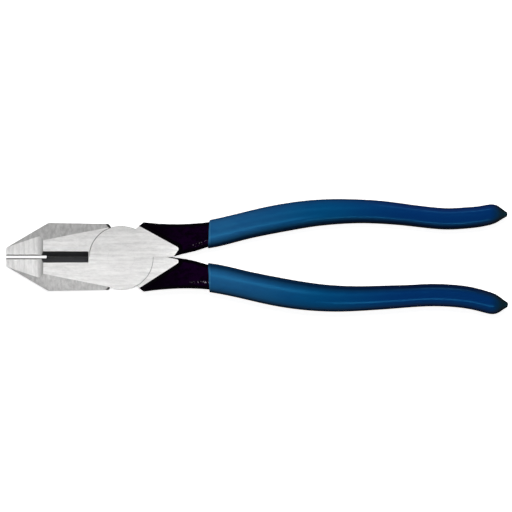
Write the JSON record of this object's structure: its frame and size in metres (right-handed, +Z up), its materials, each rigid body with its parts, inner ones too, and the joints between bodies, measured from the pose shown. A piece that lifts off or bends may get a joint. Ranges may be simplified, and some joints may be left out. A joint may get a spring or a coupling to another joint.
{
  "type": "lineman pliers",
  "caption": "Side-cutting lineman's pliers: two forged halves on a flush rivet, toothed flat nose, V-recessed side cutters and long curved vinyl-dipped handles.",
  "frame": {"origin": "where the pivot axis meets the underside of the head, with the pliers lying flat", "axes": "+X from the pivot along the parting line towards the handle ends, +Y across the tool towards the front half's handle, +Z up out of the front face along the pivot axis"},
  "size_m": [0.2345, 0.0535, 0.016],
  "materials": {
    "forged_steel": "ground and brushed head, black oxide tangs",
    "rivet_steel": "ground flush with the head",
    "grip_vinyl": "dark blue dipped vinyl, semi-gloss"
  },
  "bodies": {
    "back": {"back_half": "forged_steel", "pivot_rivet": "rivet_steel", "lower_grip": "grip_vinyl"},
    "front": {"front_half": "forged_steel", "upper_grip": "grip_vinyl"}
  },
  "joints": [
    {"name": "jaw_pivot", "type": "hinge", "parent": "back", "child": "front", "pos_m": [0, 0, 0.008], "axis": [0, 0, 1], "range_deg": [0, 45]}
  ]
}
